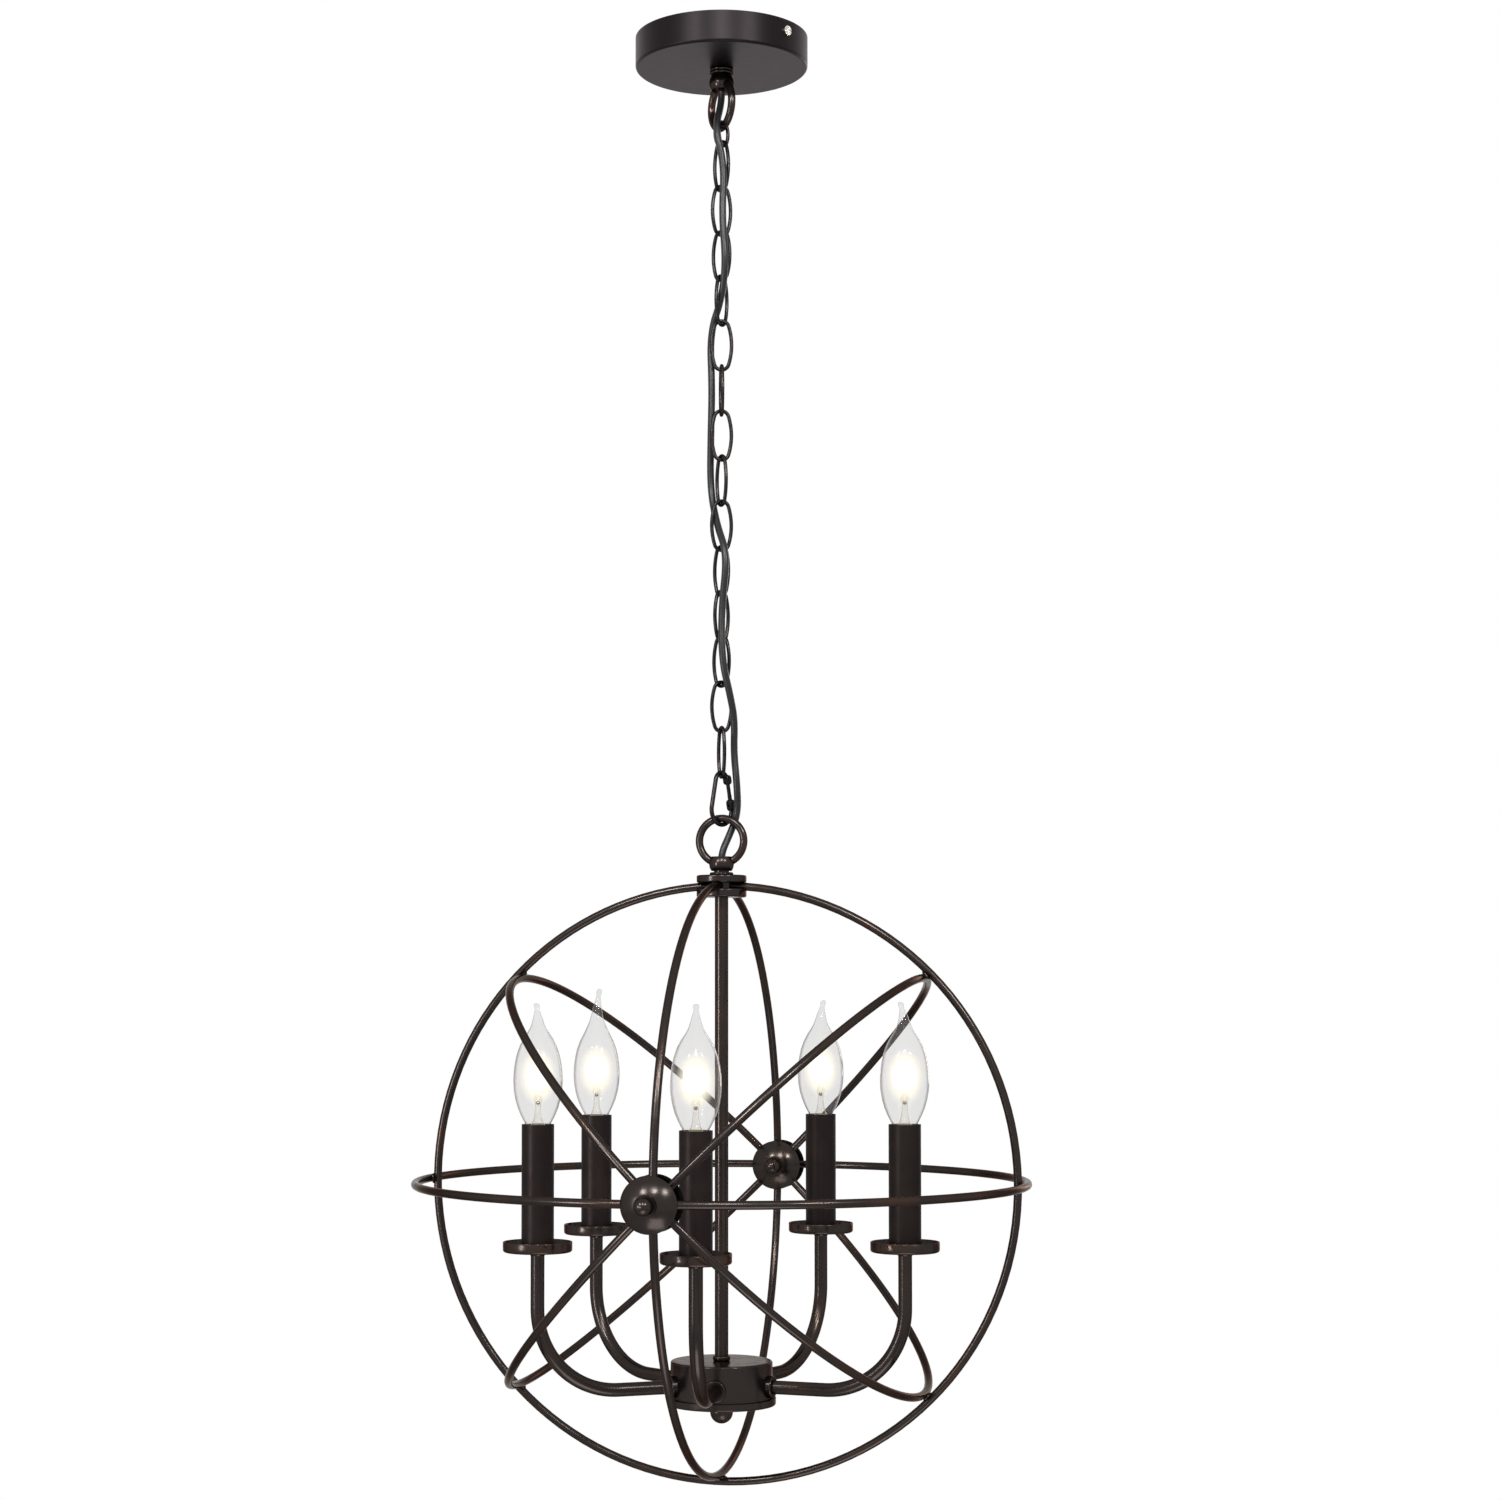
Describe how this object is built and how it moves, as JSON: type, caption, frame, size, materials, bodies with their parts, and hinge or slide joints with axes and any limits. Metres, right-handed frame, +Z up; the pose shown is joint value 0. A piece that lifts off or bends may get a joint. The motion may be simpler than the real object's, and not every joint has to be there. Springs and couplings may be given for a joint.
{
  "type": "orb chandelier",
  "caption": "Chandelier of crossed round rings forming an open sphere round candle lights on curved arms, hung by a link chain, a snap hook and a woven power cable from a round ceiling canopy.",
  "frame": {"origin": "middle of the mounting strap's top face, on the ceiling", "axes": "+Z up; +Y through the orb's bosses, away from the picture's camera; +X to the right"},
  "size_m": [0.455, 0.5002, 1.0748],
  "materials": {
    "bronze": "satin oil-rubbed bronze paint",
    "bronze_sleeve": "satin bronze paint on the candle sleeves",
    "dark_chain": "satin near-black paint",
    "zinc_steel": "zinc plated",
    "nickel": "bright nickel",
    "brass_screw": "green dyed",
    "cable_jacket": "satin dark jacket",
    "socket_black": "matte phenolic",
    "bulb_glass": "clear glass, lit"
  },
  "bodies": {
    "ceiling": {"mounting_strap": "zinc_steel", "ground_screw": "brass_screw", "canopy": "bronze", "canopy_screws": "nickel", "canopy_pipe": "zinc_steel", "canopy_locknuts": "zinc_steel", "canopy_loop": "bronze", "power_cable": "cable_jacket"},
    "connector": {"chain_connector": "dark_chain"},
    "link_01": {"link_01": "dark_chain"},
    "link_02": {"link_02": "dark_chain"},
    "link_03": {"link_03": "dark_chain"},
    "link_04": {"link_04": "dark_chain"},
    "link_05": {"link_05": "dark_chain"},
    "link_06": {"link_06": "dark_chain"},
    "link_07": {"link_07": "dark_chain"},
    "link_08": {"link_08": "dark_chain"},
    "link_09": {"link_09": "dark_chain"},
    "link_10": {"link_10": "dark_chain"},
    "link_11": {"link_11": "dark_chain"},
    "link_12": {"link_12": "dark_chain"},
    "link_13": {"link_13": "dark_chain"},
    "link_14": {"link_14": "dark_chain"},
    "carabiner": {"carabiner_body": "dark_chain", "carabiner_pin": "dark_chain"},
    "gate": {"carabiner_gate": "dark_chain"},
    "orb": {"orb_loop": "bronze", "clamp_upper_disc": "bronze", "clamp_lower_disc": "bronze", "clamp_core": "zinc_steel", "ring_front": "bronze", "ring_upright": "bronze", "ring_equator": "bronze", "ring_diagonal_left": "bronze", "ring_diagonal_right": "bronze", "boss_cores": "bronze", "boss_outer_caps": "bronze", "boss_inner_caps": "bronze", "boss_knobs": "bronze", "stem_tube": "bronze", "stem_collar": "bronze", "hub_pipe": "zinc_steel", "hub_drum": "bronze", "hub_cover": "bronze", "finial": "bronze", "arm_1": "bronze", "arm_2": "bronze", "arm_3": "bronze", "arm_4": "bronze", "arm_5": "bronze", "arm_flanges": "bronze", "locknuts": "zinc_steel", "drip_pans": "bronze", "candle_sleeves": "bronze_sleeve", "lamp_sockets": "socket_black"},
    "bulb_1": {"bulb_1": "bulb_glass"},
    "bulb_2": {"bulb_2": "bulb_glass"},
    "bulb_3": {"bulb_3": "bulb_glass"},
    "bulb_4": {"bulb_4": "bulb_glass"},
    "bulb_5": {"bulb_5": "bulb_glass"}
  },
  "joints": [
    {"name": "connector_swing", "type": "hinge", "parent": "ceiling", "child": "connector", "pos_m": [0, 0, -0.06735], "axis": [0.6293, -0.7771, 0], "range_deg": [-10, 10], "deforming": ["power_cable"]},
    {"name": "link_01_swing", "type": "hinge", "parent": "connector", "child": "link_01", "pos_m": [0, 0, -0.08095], "axis": [0.7771, 0.6293, 0], "range_deg": [-10, 10], "deforming": ["power_cable"]},
    {"name": "link_02_swing", "type": "hinge", "parent": "link_01", "child": "link_02", "pos_m": [0, 0, -0.11475], "axis": [0.8192, -0.5736, 0], "range_deg": [-10, 10], "deforming": ["power_cable"]},
    {"name": "link_03_swing", "type": "hinge", "parent": "link_02", "child": "link_03", "pos_m": [0, 0, -0.14855], "axis": [0.788, 0.6157, 0], "range_deg": [-10, 10], "deforming": ["power_cable"]},
    {"name": "link_04_swing", "type": "hinge", "parent": "link_03", "child": "link_04", "pos_m": [0, 0, -0.18235], "axis": [0.9205, -0.3907, 0], "range_deg": [-10, 10], "deforming": ["power_cable"]},
    {"name": "link_05_swing", "type": "hinge", "parent": "link_04", "child": "link_05", "pos_m": [0, 0, -0.21615], "axis": [0.342, 0.9397, 0], "range_deg": [-10, 10], "deforming": ["power_cable"]},
    {"name": "link_06_swing", "type": "hinge", "parent": "link_05", "child": "link_06", "pos_m": [0, 0, -0.24995], "axis": [0.9781, 0.2079, 0], "range_deg": [-10, 10], "deforming": ["power_cable"]},
    {"name": "link_07_swing", "type": "hinge", "parent": "link_06", "child": "link_07", "pos_m": [0, 0, -0.28375], "axis": [0.309, -0.9511, 0], "range_deg": [-10, 10], "deforming": ["power_cable"]},
    {"name": "link_08_swing", "type": "hinge", "parent": "link_07", "child": "link_08", "pos_m": [0, 0, -0.31755], "axis": [0.9205, 0.3907, 0], "range_deg": [-10, 10], "deforming": ["power_cable"]},
    {"name": "link_09_swing", "type": "hinge", "parent": "link_08", "child": "link_09", "pos_m": [0, 0, -0.35135], "axis": [0.6293, -0.7771, 0], "range_deg": [-10, 10], "deforming": ["power_cable"]},
    {"name": "link_10_swing", "type": "hinge", "parent": "link_09", "child": "link_10", "pos_m": [0, 0, -0.38515], "axis": [0.8988, 0.4384, 0], "range_deg": [-10, 10], "deforming": ["power_cable"]},
    {"name": "link_11_swing", "type": "hinge", "parent": "link_10", "child": "link_11", "pos_m": [0, 0, -0.41895], "axis": [0.8192, -0.5736, 0], "range_deg": [-10, 10], "deforming": ["power_cable"]},
    {"name": "link_12_swing", "type": "hinge", "parent": "link_11", "child": "link_12", "pos_m": [0, 0, -0.45275], "axis": [0.4848, 0.8746, 0], "range_deg": [-10, 10], "deforming": ["power_cable"]},
    {"name": "link_13_swing", "type": "hinge", "parent": "link_12", "child": "link_13", "pos_m": [0, 0, -0.48655], "axis": [0.8746, -0.4848, 0], "range_deg": [-10, 10], "deforming": ["power_cable"]},
    {"name": "link_14_swing", "type": "hinge", "parent": "link_13", "child": "link_14", "pos_m": [0, 0, -0.52035], "axis": [0.8829, 0.4695, 0], "range_deg": [-10, 10], "deforming": ["power_cable"]},
    {"name": "carabiner_swing", "type": "hinge", "parent": "link_14", "child": "carabiner", "pos_m": [0, 0, -0.55415], "axis": [0.4848, -0.8746, 0], "range_deg": [-10, 10], "deforming": ["power_cable"]},
    {"name": "carabiner_gate_hinge", "type": "hinge", "parent": "carabiner", "child": "gate", "pos_m": [0.00497, 0.0086, -0.57302], "axis": [0.866, -0.5, 0], "range_deg": [0, 25], "stiffness_Nm_per_rad": 0.01, "springref_deg": -11.46},
    {"name": "orb_swing", "type": "hinge", "parent": "carabiner", "child": "orb", "pos_m": [0, 0, -0.58955], "axis": [0.5, 0.866, 0], "range_deg": [-10, 10], "deforming": ["power_cable"]},
    {"name": "bulb_1_out", "type": "slide", "parent": "orb", "child": "bulb_1", "axis": [0, 0, 1], "range_m": [0, 0.018]},
    {"name": "bulb_2_out", "type": "slide", "parent": "orb", "child": "bulb_2", "axis": [0, 0, 1], "range_m": [0, 0.018]},
    {"name": "bulb_3_out", "type": "slide", "parent": "orb", "child": "bulb_3", "axis": [0, 0, 1], "range_m": [0, 0.018]},
    {"name": "bulb_4_out", "type": "slide", "parent": "orb", "child": "bulb_4", "axis": [0, 0, 1], "range_m": [0, 0.018]},
    {"name": "bulb_5_out", "type": "slide", "parent": "orb", "child": "bulb_5", "axis": [0, 0, 1], "range_m": [0, 0.018]}
  ]
}
